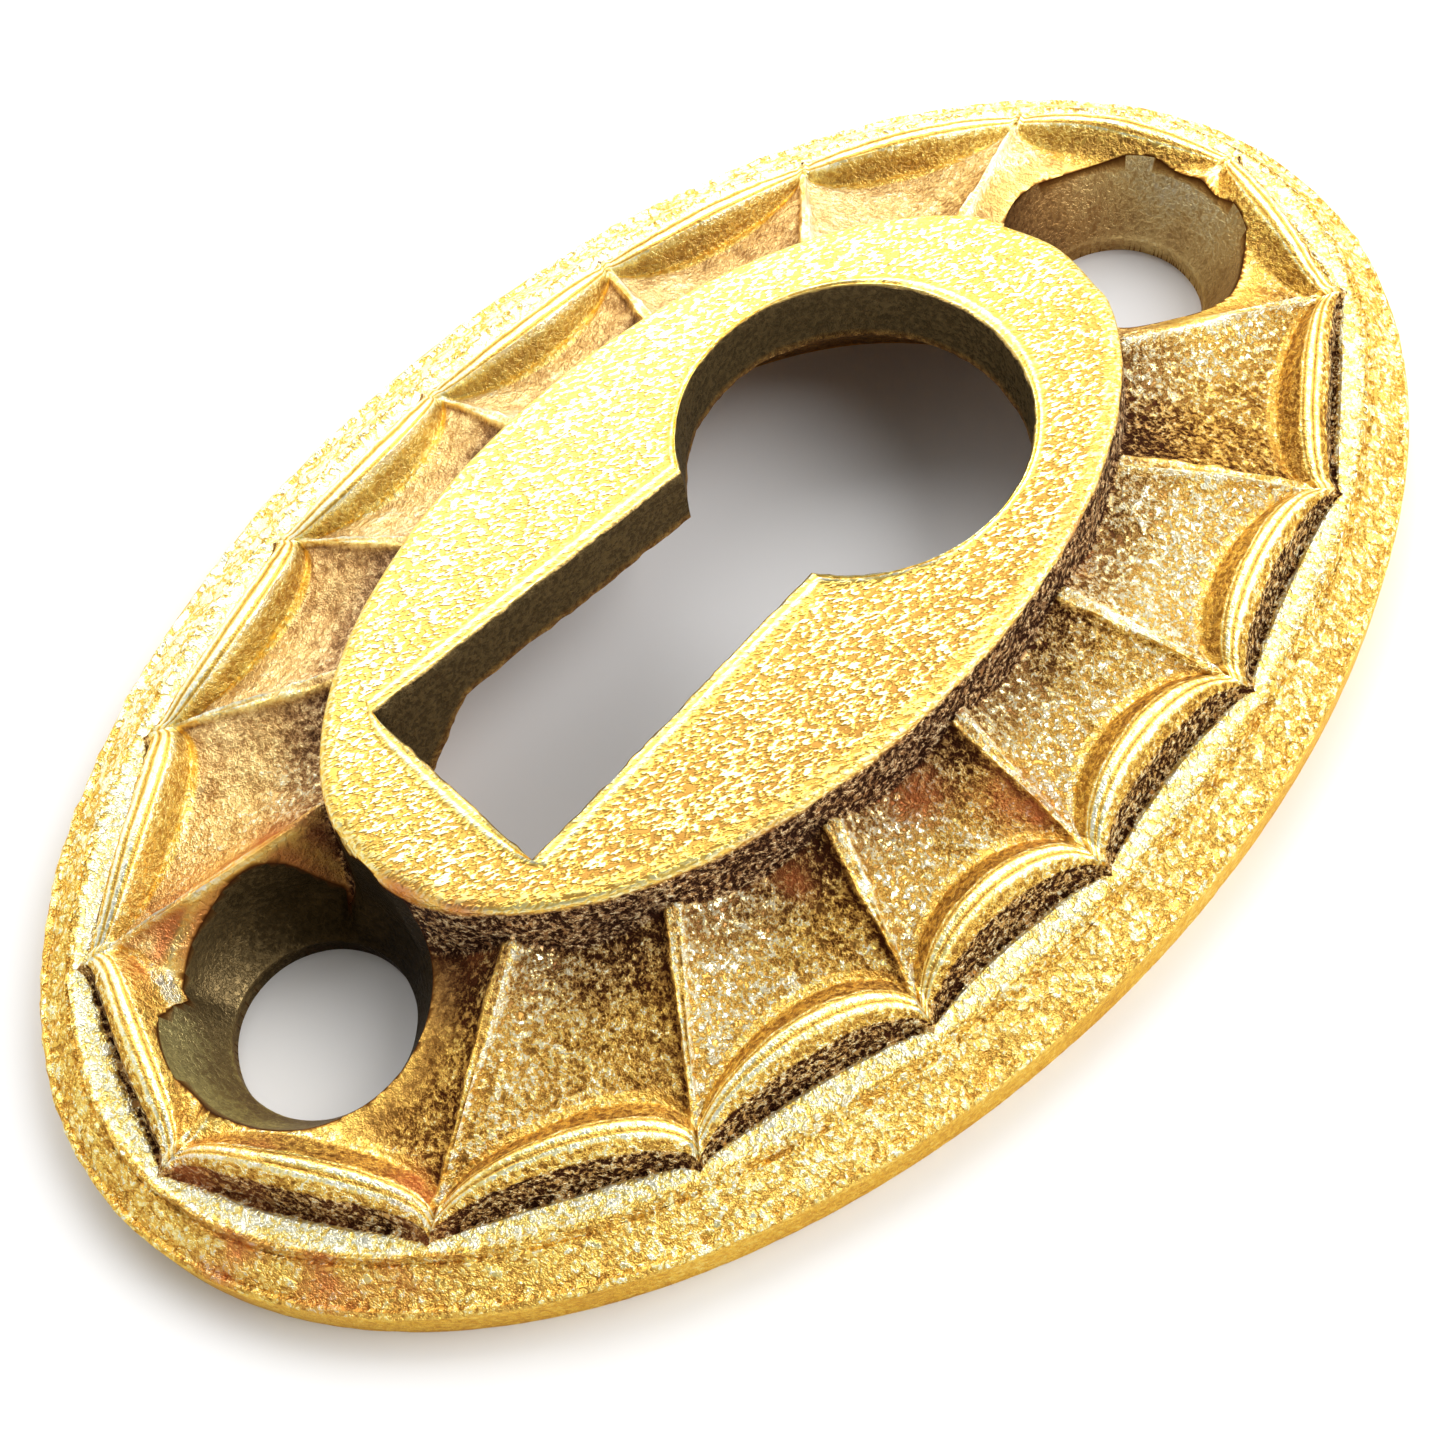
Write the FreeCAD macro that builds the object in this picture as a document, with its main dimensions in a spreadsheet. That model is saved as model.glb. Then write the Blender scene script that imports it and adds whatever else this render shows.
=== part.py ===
import FreeCAD, Part
import Sketcher
import math
import os

# Oval keyhole escutcheon, cast in one piece, for a cabinet door or a drawer.
# The face looks along +Z and the back lies on z = 0. The long axis is Y, and the
# round end of the keyhole points to +Y. The origin is the middle of the back.

Vector = FreeCAD.Vector

os.makedirs("parts", exist_ok=True)
doc = FreeCAD.newDocument("KeyholeEscutcheon")

# Driving sizes in millimetres, angles in degrees
SIZES = (
    ("plate_length", 32.0),
    ("plate_width", 20.4),
    ("edge_height", 1.0),
    ("rim_at_ends", 0.85),
    ("rim_at_sides", 1.2),
    ("lip_height", 1.6),
    ("boss_length", 18.2),
    ("boss_width", 10.4),
    ("boss_height", 4.1),
    ("boss_draft", 5.0),
    ("boss_edge", 0.2),
    ("boss_skin", 1.5),
    ("hollow_wall_at_ends", 2.6),
    ("hollow_wall_at_sides", 1.0),
    ("hollow_offset", 0.4),
    ("hollow_draft", 35.0),
    ("panel_count", 16),
    ("ridge_rise", 1.7),
    ("flute_depth", 0.6),
    ("ridge_aim", 0.25),
    ("web_turn", -2.3),
    ("web_offset", 0.3),
    ("arch_inset", 1.1),
    ("arch_rise", 0.48),
    ("bead_width", 0.58),
    ("arch_step", 0.4),
    ("lens_inset", 0.45),
    ("lens_depth", 0.66),
    ("cusp_land", 0.12),
    ("cusp_roundness", 0.02),
    ("key_barrel_hole", 6.75),
    ("key_barrel_land", 2.475),
    ("slot_neck_width", 3.4),
    ("slot_end_width", 4.3),
    ("slot_end_land", 2.1),
    ("screw_spacing", 22.5),
    ("screw_hole", 3.5),
    ("screw_land", 0.4),
    ("countersink_width", 5.0),
    ("countersink_height", 2.1),
    ("screw_head", 4.5),
)

sheet = doc.addObject("Spreadsheet::Sheet", "Sizes")
for row, (alias, value) in enumerate(SIZES, start=1):
    sheet.set(f"A{row}", alias)
    sheet.set(f"B{row}", str(value))
    sheet.setAlias(f"B{row}", alias)
doc.recompute()


def size(alias):
    """One value of the sheet as a plain number."""
    return float(sheet.get(alias))


def bind(item, **links):
    """Ties properties of an object to expressions on the sheet."""
    for name, expression in links.items():
        item.setExpression(name.replace("__", "."), expression)


def oval(label, length, width, height):
    """A flat oval round the Z axis, with its long axis on Y."""
    curve = doc.addObject("Part::Ellipse", label)
    curve.Placement = FreeCAD.Placement(Vector(), FreeCAD.Rotation(Vector(0, 0, 1), 90))
    bind(curve, MajorRadius=f"({length}) / 2", MinorRadius=f"({width}) / 2", Placement__Base__z=height)
    return curve


def oval_loft(label, ovals):
    """A solid with straight walls from each oval to the next."""
    loft = doc.addObject("Part::Loft", label)
    loft.Sections = ovals
    loft.Solid = True
    loft.Ruled = True
    return loft


# Outer form: thin upright edge, rim sloping up to the lip and a little past it, and room for the web
PAST_LIP = 1.05
rim_oval = oval(
    "RimOval",
    f"Sizes.plate_length - 2 * {PAST_LIP} * Sizes.rim_at_ends",
    f"Sizes.plate_width - 2 * {PAST_LIP} * Sizes.rim_at_sides",
    f"Sizes.edge_height + {PAST_LIP} * (Sizes.lip_height - Sizes.edge_height)",
)
back_oval = oval("BackOval", "Sizes.plate_length", "Sizes.plate_width", "0")
edge_oval = oval("EdgeOval", "Sizes.plate_length", "Sizes.plate_width", "Sizes.edge_height")
crown_oval = oval("CrownOval", "Sizes.boss_length", "Sizes.boss_width", "2 * Sizes.boss_height")
outer_form = oval_loft("OuterForm", [back_oval, edge_oval, rim_oval, crown_oval])


# Web relief: panels fluted between sharp ridges, each closed by an arch and a lens hollow
STATIONS = (0, 0.15, 0.5, 0.85, 1)


class Web:
    """Radial sections of the relief, placed round the lip by their parameter angle."""

    def __init__(self):
        self.half_length = size("plate_length") / 2 - size("rim_at_ends")
        self.half_width = size("plate_width") / 2 - size("rim_at_sides")
        self.lip = size("lip_height")

    def cusp_angles(self, count, steps=3600):
        """Parameter angles of points that lie an equal way apart along the lip."""
        reached = [0.0]
        for step in range(steps):
            angle = 2 * math.pi * (step + 0.5) / steps
            speed = math.hypot(self.half_width * math.cos(angle), self.half_length * math.sin(angle))
            reached.append(reached[-1] + speed)
        angles = []
        step = 0
        for index in range(count):
            while reached[step] < reached[-1] * index / count:
                step += 1
            angle = 2 * math.pi * step / steps
            slip = size("web_offset") / self.half_width * math.cos(angle)
            angles.append(angle + math.radians(size("web_turn")) + slip)
        return angles

    def reach(self, start, along, half_length, half_width):
        """Way from a point outside an oval to the oval."""
        a = (along.x / half_width) ** 2 + (along.y / half_length) ** 2
        b = 2 * (start.x * along.x / half_width ** 2 + start.y * along.y / half_length ** 2)
        c = (start.x / half_width) ** 2 + (start.y / half_length) ** 2 - 1
        return (-b - math.sqrt(b * b - 4 * a * c)) / (2 * a)

    def scallop(self, at):
        """Reach of the arch, 0 on a ridge and 1 halfway between two, along nearly half an oval."""
        round_off = size("cusp_roundness")
        flute = 4 * at * (1 - at)
        return (math.sqrt(flute + round_off) - math.sqrt(round_off)) / (math.sqrt(1 + round_off) - math.sqrt(round_off))

    def section(self, angle, at):
        """Closed section through one panel, a share of the way from one ridge to the next."""
        start = Vector(self.half_width * math.sin(angle), self.half_length * math.cos(angle), 0)
        aim = Vector(0, size("ridge_aim") * start.y, 0)
        along = (aim - start).normalize()
        wall = self.reach(start, along, size("boss_length") / 2, size("boss_width") / 2)
        inner = wall + size("boss_height") * math.tan(math.radians(size("boss_draft"))) + size("boss_edge")
        scallop = self.scallop(at)

        def place(inset, height):
            return start + along * inset + Vector(0, 0, height)

        def above_ridge(inset, rise):
            return place(inset, self.lip + size("ridge_rise") * inset / wall + rise)

        def panel_point(inset):
            return above_ridge(inset, -size("flute_depth") * 4 * at * (1 - at) * inset / wall)

        def grown(at_cusp, halfway):
            return at_cusp + (halfway - at_cusp) * scallop

        land = size("cusp_land")
        lip = place(0, self.lip)
        lens = above_ridge(grown(land / 2, size("lens_inset")), grown(-land / 2, -size("lens_depth")))
        above_lip = lip + (lip - lens).normalize() * size("lip_height") / 2
        bead_out = grown(land, size("arch_inset") - size("bead_width") / 2)
        bead_in = grown(2 * land, size("arch_inset") + size("bead_width") / 2)
        step_foot = grown(3 * land, size("arch_inset") + size("bead_width") / 2 + size("arch_step"))
        outside = -2 * max(size("rim_at_ends"), size("rim_at_sides"))
        below = -size("edge_height")
        corners = [
            above_lip,
            lens,
            above_ridge(bead_out, grown(0, size("arch_rise"))),
            above_ridge(bead_in, grown(land / 2, size("arch_rise"))),
            panel_point(step_foot),
            panel_point(inner),
            place(inner, below),
            place(outside, below),
            place(outside, above_lip.z),
            above_lip,
        ]
        return Part.makePolygon(corners)

    def build(self):
        """All sectors of the web, lofted from ridge to ridge and joined."""
        count = int(size("panel_count"))
        cusps = self.cusp_angles(count)
        sectors = []
        for index in range(count):
            first = cusps[index]
            last = cusps[(index + 1) % count] + (2 * math.pi if index == count - 1 else 0)
            wires = [self.section(first + (last - first) * at, at) for at in STATIONS]
            sectors.append(Part.makeLoft(wires, True, False))
        return sectors


web_sectors = Web().build()
web = doc.addObject("Part::Feature", "Web")
web.Shape = web_sectors[0].multiFuse(web_sectors[1:])
web_in_form = doc.addObject("Part::Common", "WebInForm")
web_in_form.Base = outer_form
web_in_form.Tool = web


def sinks(label, width):
    """A cone and a round shaft above it at each screw hole. The cone ends where it is as wide as the shaft."""
    cone_height = (
        "(Sizes.countersink_height - Sizes.screw_land)"
        f" * ({width} - Sizes.screw_hole) / (Sizes.countersink_width - Sizes.screw_hole)"
    )
    cutters = []
    for end, side in (("Lower", "-1"), ("Upper", "1")):
        cone = doc.addObject("Part::Cone", f"{end}{label}Cone")
        bind(cone, Radius1="Sizes.screw_hole / 2", Radius2=f"{width} / 2", Height=cone_height)
        bind(cone, Placement__Base__z="Sizes.screw_land")
        shaft = doc.addObject("Part::Cylinder", f"{end}{label}Shaft")
        bind(shaft, Radius=f"{width} / 2", Height="2 * Sizes.boss_height")
        bind(shaft, Placement__Base__z=f"Sizes.screw_land + {cone_height}")
        for cutter in (cone, shaft):
            bind(cutter, Placement__Base__y=f"{side} * Sizes.screw_spacing / 2")
            cutters.append(cutter)
    return cutters


# Countersinks, cut into the web before the boss joins it, so that its end walls stand in them
web_sinks = doc.addObject("Part::MultiFuse", "WebSinks")
web_sinks.Shapes = sinks("Countersink", "Sizes.countersink_width")
sunk_web = doc.addObject("Part::Cut", "SunkWeb")
sunk_web.Base = web_in_form
sunk_web.Tool = web_sinks


def plane_of(body, role):
    """One of the body's own origin planes."""
    return next(item for item in body.Origin.OriginFeatures if item.Role == role)


def sketch_on_back(body, label):
    """A sketch on the body's XY plane."""
    sketch = body.newObject("Sketcher::SketchObject", label)
    sketch.AttachmentSupport = (plane_of(body, "XY_Plane"), [""])
    sketch.MapMode = "FlatFace"
    return sketch


def hold(sketch, name, constraint, expression):
    """Adds a named constraint whose value follows the sheet."""
    sketch.addConstraint(constraint)
    sketch.renameConstraint(sketch.ConstraintCount - 1, name)
    sketch.setExpression(f"Constraints.{name}", expression)


# Raised oval boss round the keyhole, with drafted walls and a broken top edge
BOSS_SPREAD = "2 * Sizes.boss_height * tan(Sizes.boss_draft * 1deg)"
TOP_EDGE = "2 * Sizes.boss_edge"
foot_oval = oval("BossFoot", f"Sizes.boss_length + {BOSS_SPREAD}", f"Sizes.boss_width + {BOSS_SPREAD}", "0")
side_oval = oval("BossSide", "Sizes.boss_length", "Sizes.boss_width", "Sizes.boss_height - Sizes.boss_edge")
top_oval = oval(
    "BossTop", f"Sizes.boss_length - {TOP_EDGE}", f"Sizes.boss_width - {TOP_EDGE}", "Sizes.boss_height"
)
boss = oval_loft("Boss", [foot_oval, side_oval, top_oval])

casting = doc.addObject("Part::Fuse", "Casting")
casting.Base = sunk_web
casting.Tool = boss


# Hollow in the back, which leaves the top of the boss as a plate of even thickness
ROOF_HEIGHT = "Sizes.boss_height - Sizes.boss_skin"
FLARE = f"2 * ({ROOF_HEIGHT}) * tan(Sizes.hollow_draft * 1deg)"
HOLLOW_LENGTH = "Sizes.boss_length - 2 * Sizes.hollow_wall_at_ends"
HOLLOW_WIDTH = "Sizes.boss_width - 2 * Sizes.hollow_wall_at_sides"
roof_oval = oval("HollowRoof", HOLLOW_LENGTH, HOLLOW_WIDTH, ROOF_HEIGHT)
mouth_oval = oval("HollowMouth", f"{HOLLOW_LENGTH} + {FLARE}", f"{HOLLOW_WIDTH} + {FLARE}", "0")
for curve in (roof_oval, mouth_oval):
    bind(curve, Placement__Base__y="Sizes.hollow_offset")
back_hollow = oval_loft("BackHollow", [mouth_oval, roof_oval])


# Keyhole: a round for the key's barrel and a slot for its bit that widens to a square end
keyhole = doc.addObject("PartDesign::Body", "Keyhole")
outline = sketch_on_back(keyhole, "KeyholeOutline")
radius = size("key_barrel_hole") / 2
centre = Vector(0, size("boss_length") / 2 - size("key_barrel_land") - radius, 0)
neck = size("slot_neck_width") / 2
tail = size("slot_end_width") / 2
neck_angle = math.asin(neck / radius)
neck_left = centre + Vector(-neck, -radius * math.cos(neck_angle), 0)
neck_right = centre + Vector(neck, -radius * math.cos(neck_angle), 0)
slot_end = size("slot_end_land") - size("boss_length") / 2
end_left = Vector(-tail, slot_end, 0)
end_right = Vector(tail, slot_end, 0)
outline.addGeometry(Part.LineSegment(neck_left, end_left))
outline.addGeometry(Part.LineSegment(end_left, end_right))
outline.addGeometry(Part.LineSegment(end_right, neck_right))
circle = Part.Circle(centre, Vector(0, 0, 1), radius)
outline.addGeometry(Part.ArcOfCircle(circle, neck_angle - math.pi / 2, 1.5 * math.pi - neck_angle))
for first, first_end, second, second_end in ((0, 2, 1, 1), (1, 2, 2, 1), (2, 2, 3, 1), (3, 2, 0, 1)):
    outline.addConstraint(Sketcher.Constraint("Coincident", first, first_end, second, second_end))
outline.addConstraint(Sketcher.Constraint("Symmetric", 0, 1, 2, 2, -2))
outline.addConstraint(Sketcher.Constraint("Symmetric", 1, 1, 1, 2, -2))
hold(outline, "barrel", Sketcher.Constraint("Radius", 3, radius), "Sizes.key_barrel_hole / 2")
hold(
    outline,
    "offset",
    Sketcher.Constraint("DistanceY", -1, 1, 3, 3, centre.y),
    "Sizes.boss_length / 2 - Sizes.key_barrel_land - Sizes.key_barrel_hole / 2",
)
hold(outline, "neck", Sketcher.Constraint("DistanceX", 0, 1, 2, 2, 2 * neck), "Sizes.slot_neck_width")
hold(outline, "tail", Sketcher.Constraint("DistanceX", 1, 1, 1, 2, 2 * tail), "Sizes.slot_end_width")
hold(
    outline,
    "reach",
    Sketcher.Constraint("DistanceY", 1, 1, -1, 1, -slot_end),
    "Sizes.boss_length / 2 - Sizes.slot_end_land",
)
keyhole_pad = keyhole.newObject("PartDesign::Pad", "KeyholePad")
keyhole_pad.Profile = outline
keyhole_pad.Midplane = True
bind(keyhole_pad, Length="4 * Sizes.boss_height")


# Two screw holes on the long axis. The way for each screw's head just grazes the end of the boss
cutters = [back_hollow, keyhole] + sinks("Head", "Sizes.screw_head")
for end, side in (("Lower", "-1"), ("Upper", "1")):
    hole = doc.addObject("Part::Cylinder", f"{end}ScrewHole")
    bind(hole, Radius="Sizes.screw_hole / 2", Height="4 * Sizes.boss_height")
    bind(hole, Placement__Base__z="-2 * Sizes.boss_height", Placement__Base__y=f"{side} * Sizes.screw_spacing / 2")
    cutters.append(hole)

openings = doc.addObject("Part::MultiFuse", "Openings")
openings.Shapes = cutters
escutcheon = doc.addObject("Part::Cut", "Escutcheon")
escutcheon.Label = "escutcheon"
escutcheon.Base = casting
escutcheon.Tool = openings
escutcheon.Refine = True

doc.recompute()
for item in doc.Objects:
    if "Invalid" in item.State or "Error" in item.State:
        raise RuntimeError(f"{item.Label} did not build: {item.State}")
shape = escutcheon.Shape
if shape.isNull() or not shape.isValid() or len(shape.Solids) != 1:
    raise RuntimeError("the escutcheon is not one valid solid")
shape.exportStep(f"parts/{escutcheon.Label}.step")
box = shape.optimalBoundingBox(False, False)
print(f"{escutcheon.Label}: {box.XLength:.2f} x {box.YLength:.2f} x {box.ZLength:.2f} mm, {shape.Volume:.0f} mm3")
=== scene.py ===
"""Keyhole escutcheon: one brass casting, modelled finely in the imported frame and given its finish."""
import math

import bpy
import numpy as np
from mathutils import Matrix, Vector


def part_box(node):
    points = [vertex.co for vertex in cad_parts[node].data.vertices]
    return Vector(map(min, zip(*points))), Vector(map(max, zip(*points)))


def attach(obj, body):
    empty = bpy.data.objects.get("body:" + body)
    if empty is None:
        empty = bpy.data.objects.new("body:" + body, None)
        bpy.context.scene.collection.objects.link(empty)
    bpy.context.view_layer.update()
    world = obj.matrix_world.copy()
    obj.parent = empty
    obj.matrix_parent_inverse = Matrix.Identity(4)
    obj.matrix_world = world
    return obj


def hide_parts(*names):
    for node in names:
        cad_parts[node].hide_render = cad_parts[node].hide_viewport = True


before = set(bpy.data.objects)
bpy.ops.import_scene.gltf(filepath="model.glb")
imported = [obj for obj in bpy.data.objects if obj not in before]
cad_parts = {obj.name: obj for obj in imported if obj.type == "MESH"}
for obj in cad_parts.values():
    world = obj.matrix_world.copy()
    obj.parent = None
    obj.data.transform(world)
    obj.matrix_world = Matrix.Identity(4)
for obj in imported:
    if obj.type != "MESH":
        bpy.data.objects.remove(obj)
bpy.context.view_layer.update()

MM = 0.001

# Plate, from the frame, in millimetres
low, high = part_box("escutcheon")
PLATE_Y = high.y / MM
PLATE_X = high.x / MM
TOP = high.z / MM

# Rim and lip
EDGE_HEIGHT = 1.0
RIM_AT_ENDS = 0.85
RIM_AT_SIDES = 1.2
LIP_HEIGHT = 1.6
LIP_Y = PLATE_Y - RIM_AT_ENDS
LIP_X = PLATE_X - RIM_AT_SIDES

# Boss and the hollow behind it
BOSS_Y = 9.1
BOSS_X = 5.2
BOSS_DRAFT = math.tan(math.radians(5.0))
BOSS_EDGE = 0.2
BOSS_SKIN = 1.5
HOLLOW_Y = BOSS_Y - 2.6
HOLLOW_X = BOSS_X - 1.0
HOLLOW_OFFSET = 0.4
HOLLOW_DRAFT = math.tan(math.radians(35.0))

# Web relief: ridges rise from the cusps to the boss, and the flutes between them deepen on the way
PANELS = 16
RIDGE_RISE = 1.7
FLUTE_DEPTH = 0.6
END_FLUTE_DEPTH = 1.0
SCOOP_PANEL = 8
SCOOP_DEPTH = 1.0
RIDGE_AIM = 0.25
WEB_TURN = -2.3
WEB_OFFSET = 0.3
CUSP_SLIPS = (0.6, -1.5, 0.6, 1.3, 1.2, -0.1, -0.4, -0.8, 0.5, -0.5, 0.2, 0.4, -0.9, -1.1, -0.5, 0.0)
LEFT_CREST = 0.2
STRAND_HEIGHT = 0.12
STRAND_HALF = 0.15

# Rim section from the plate's edge to the lip: share of the way, height, steps to the next point
RIM = (
    (0.03, EDGE_HEIGHT, 2),
    (0.09, EDGE_HEIGHT + 0.07, 2),
    (0.18, EDGE_HEIGHT + 0.04, 8),
    (0.70, EDGE_HEIGHT + 0.42, 1),
    (0.75, EDGE_HEIGHT + 0.48, 2),
    (0.81, EDGE_HEIGHT + 0.44, 2),
    (0.90, LIP_HEIGHT + 0.02, 2),
    (1.00, LIP_HEIGHT - 0.01, 0),
)

# Section of the arch: part, inset from the lip at a ridge and halfway between two, height there, steps
ARCH = (
    ("lens", 0.0, 0.0, 0.0, 1),
    ("lens", 0.02, 0.09, -0.08, 4),
    ("lens", 0.06, 0.44, -0.11, 2),
    ("slope", 0.08, 0.53, -0.28, 1),
    ("slope", 0.10, 0.60, -0.36, 9),
    ("shoulder", 0.22, 0.80, 0.42, 3),
    ("bead", 0.32, 1.00, 0.61, 1),
    ("bead", 0.36, 1.06, 0.64, 1),
    ("groove", 0.40, 1.12, 0.56, 1),
    ("bead", 0.44, 1.18, 0.63, 1),
    ("bead", 0.49, 1.27, 0.60, 1),
    ("groove", 0.52, 1.33, 0.52, 1),
    ("bead", 0.54, 1.37, 0.52, 1),
    ("step", 0.58, 1.42, 0.40, 6),
    ("ledge", 0.70, 1.82, -0.24, 1),
    ("ledge", 0.74, 1.92, -0.20, 2),
    ("panel", 0.80, 2.04, -0.30, 0),
)

# Openings
KEY_RADIUS = 3.375
KEY_Y = 3.25
NECK = 1.7
TAIL = 2.15
SLOT_END = -7.0
SCREW_Y = 11.25
SCREW_RADIUS = 1.75
SCREW_LAND = 0.4
SINK_RADIUS = 2.5
SINK_HEIGHT = 2.1
HEAD_RADIUS = 2.25

# Fineness of the mesh
PANEL_COLUMNS = 40
COLUMNS = PANEL_COLUMNS * PANELS
SCREW_COLUMNS = 240
SEED = 20


def blend(a, b, share):
    """Rings between two rings, or numbers between two numbers."""
    return a + (b - a) * share


def ease(value, start, end):
    """0 below start, 1 above end, smooth between them."""
    at = np.clip((value - start) / (end - start), 0, 1)
    return at * at * (3 - 2 * at)


def lump(value, middle, width):
    """A smooth bump of height 1."""
    return np.exp(-(((value - middle) / width) ** 2))


class Cloud:
    """Smooth random values in space, between -1 and 1, with cells of a given size."""

    SIDE = 48

    def __init__(self, seed):
        self.table = np.random.default_rng(seed).uniform(-1, 1, (self.SIDE,) * 3)

    def __call__(self, points, cell):
        scaled = points / cell
        base = np.floor(scaled).astype(int)
        part = scaled - base
        part = part * part * (3 - 2 * part)
        total = 0
        for corner in np.ndindex(2, 2, 2):
            spot = (base + corner) % self.SIDE
            weight = np.prod(np.where(corner, part, 1 - part), axis=-1)
            total = total + weight * self.table[spot[..., 0], spot[..., 1], spot[..., 2]]
        return total

    def layers(self, points, cell, count):
        """The same with finer cells added, each half as large and half as strong."""
        return sum(self(points + 7.3 * n, cell / 2 ** n) / 2 ** n for n in range(count))


cloud = Cloud(SEED)


def on_oval(angle, half_x, half_y, height=0.0):
    """Points of an oval round the Z axis; angle 0 is at its +Y end."""
    heights = np.broadcast_to(height, angle.shape)
    return np.stack([half_x * np.sin(angle), half_y * np.cos(angle), heights], -1)


def cusp_angles(steps=3600):
    """Where the ridges reach the lip: an equal way apart, with the slips of a hand-cut pattern."""
    angle = 2 * math.pi * (np.arange(steps) + 0.5) / steps
    reached = np.concatenate([[0], np.cumsum(np.hypot(LIP_X * np.cos(angle), LIP_Y * np.sin(angle)))])
    steps_in = np.searchsorted(reached, reached[-1] * np.arange(PANELS) / PANELS)
    angle = 2 * math.pi * steps_in / steps
    return angle + np.radians(WEB_TURN + np.array(CUSP_SLIPS)) + WEB_OFFSET / LIP_X * np.cos(angle)


def reach(start, along, half_x, half_y):
    """Way from points outside an oval to the oval."""
    a = (along[:, 0] / half_x) ** 2 + (along[:, 1] / half_y) ** 2
    b = 2 * (start[:, 0] * along[:, 0] / half_x ** 2 + start[:, 1] * along[:, 1] / half_y ** 2)
    c = (start[:, 0] / half_x) ** 2 + (start[:, 1] / half_y) ** 2 - 1
    return (-b - np.sqrt(b * b - 4 * a * c)) / (2 * a)


def key_outline(columns_at):
    """The keyhole's outline, one point per column, with its four corners on whole columns."""
    neck_angle = math.asin(NECK / KEY_RADIUS)
    neck_y = KEY_Y - KEY_RADIUS * math.cos(neck_angle)
    arc = KEY_RADIUS * (math.pi - neck_angle)
    side = math.hypot(TAIL - NECK, neck_y - SLOT_END)
    half_way = np.array([0, arc, arc + side, arc + side + TAIL])
    ends = np.array([0, math.acos(neck_y / BOSS_Y), math.acos(SLOT_END / BOSS_Y), math.pi])
    total = 2 * half_way[-1]
    marks = np.concatenate([ends, 2 * math.pi - ends[-2::-1]])
    ways = np.concatenate([half_way, total - half_way[-2::-1]])
    turns = np.unwrap(columns_at)
    columns = np.arange(COLUMNS)
    mark_columns = [int(np.argmin(np.abs(turns - mark))) for mark in marks[1:-1]]
    first = (0 - turns[0]) / (turns[1] - turns[0])
    spots = np.concatenate([[first], mark_columns, [first + COLUMNS]])
    way = np.interp(np.where(columns < first, columns + COLUMNS, columns), spots, ways) % total
    right = way <= total / 2
    way = np.where(right, way, total - way)
    turn = np.minimum(way, arc) / KEY_RADIUS
    x, y = KEY_RADIUS * np.sin(turn), KEY_Y + KEY_RADIUS * np.cos(turn)
    share = np.clip((way - arc) / side, 0, 1)
    on_side = way > arc
    x = np.where(on_side, blend(NECK, TAIL, share), x)
    y = np.where(on_side, blend(neck_y, SLOT_END, share), y)
    on_end = way > arc + side
    x, y = np.where(on_end, TAIL - (way - arc - side), x), np.where(on_end, SLOT_END, y)
    return np.stack([np.where(right, x, -x), y, np.zeros(COLUMNS)], -1)


def hollow_height(points):
    """Height of the hollow's surface over points of the back: 0 outside it, its roof inside."""
    lowest, highest = np.zeros(points.shape[:-1]), np.full(points.shape[:-1], TOP - BOSS_SKIN)
    for _ in range(18):
        height = (lowest + highest) / 2
        grown = (TOP - BOSS_SKIN - height) * HOLLOW_DRAFT
        across = points[..., 0] / (HOLLOW_X + grown)
        along = (points[..., 1] - HOLLOW_OFFSET) / (HOLLOW_Y + grown)
        inside = across ** 2 + along ** 2
        lowest, highest = np.where(inside <= 1, height, lowest), np.where(inside <= 1, highest, height)
    return (lowest + highest) / 2


# Patches of copper bloom on the metal: middle and half-width in millimetres
COPPER_SPOTS = (
    (-2.1, -9.8, 0.0, 0.7),
    (-2.2, -10.8, 0.0, 0.8),
    (-2.5, -11.8, 0.0, 0.8),
    (-2.8, -12.6, 0.0, 0.5),
    (1.0, -14.7, 0.0, 0.5),
    (1.8, -13.7, 0.0, 0.45),
    (4.2, -12.1, 0.0, 0.45),
    (2.5, -15.1, 0.0, 0.7),
    (3.9, -14.0, 0.0, 0.7),
    (4.9, -12.8, 0.0, 0.5),
    (0.8, -8.9, 0.0, 0.5),
    (1.8, -8.4, 0.0, 0.5),
    (6.8, -0.1, 0.0, 0.5),
    (7.4, 0.0, 0.0, 0.4),
    (5.6, -1.2, 0.0, 0.5),
    (5.05, -3.95, 0.0, 0.5),
    (4.3, 4.2, 0.0, 0.5),
)


# Strengths on each part of the skin. TONE runs from 0 in dark patina to 1 on bright metal, and its part
# values also paint light:
# painted highlights on the lens and the beads, painted shade in the grooves, on the lens slope and on the
# boss wall. The table after
# it is painted light and shade by side: what the tone gains towards the -X side, darker on the panels and
# lighter on the other parts.
TONE = dict(
    edge=0.74, rim=0.93, lens=1.0, slope=0.36, shoulder=0.74, groove=0.45, bead=1.0, step=0.56, ledge=0.8,
    panel=0.8, wall=0.3, edge_line=0.88, bevel=0.8, top=0.82, burr=0.95, burr_line=0.72, key=0.42,
    hollow=0.4, back=0.6,
)
FAR_SIDE_PAINTED_LIGHT = dict(
    panel=-0.9, slope=0.3, rim=0.8, step=1, shoulder=0.5, lens=0.3, bead=0.3, top=1.9, bevel=1.5,
)
SPECKLE = dict(
    edge=0.35, rim=0.6, lens=0.45, slope=2.2, shoulder=1.1, groove=0.4, bead=0.25, step=0.7, ledge=0.6,
    panel=1.3, wall=1.9, edge_line=0.3, bevel=0.6, top=0.8, burr=0.2, burr_line=0.3, key=0.3,
    hollow=0.7, back=0.4,
)
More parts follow.
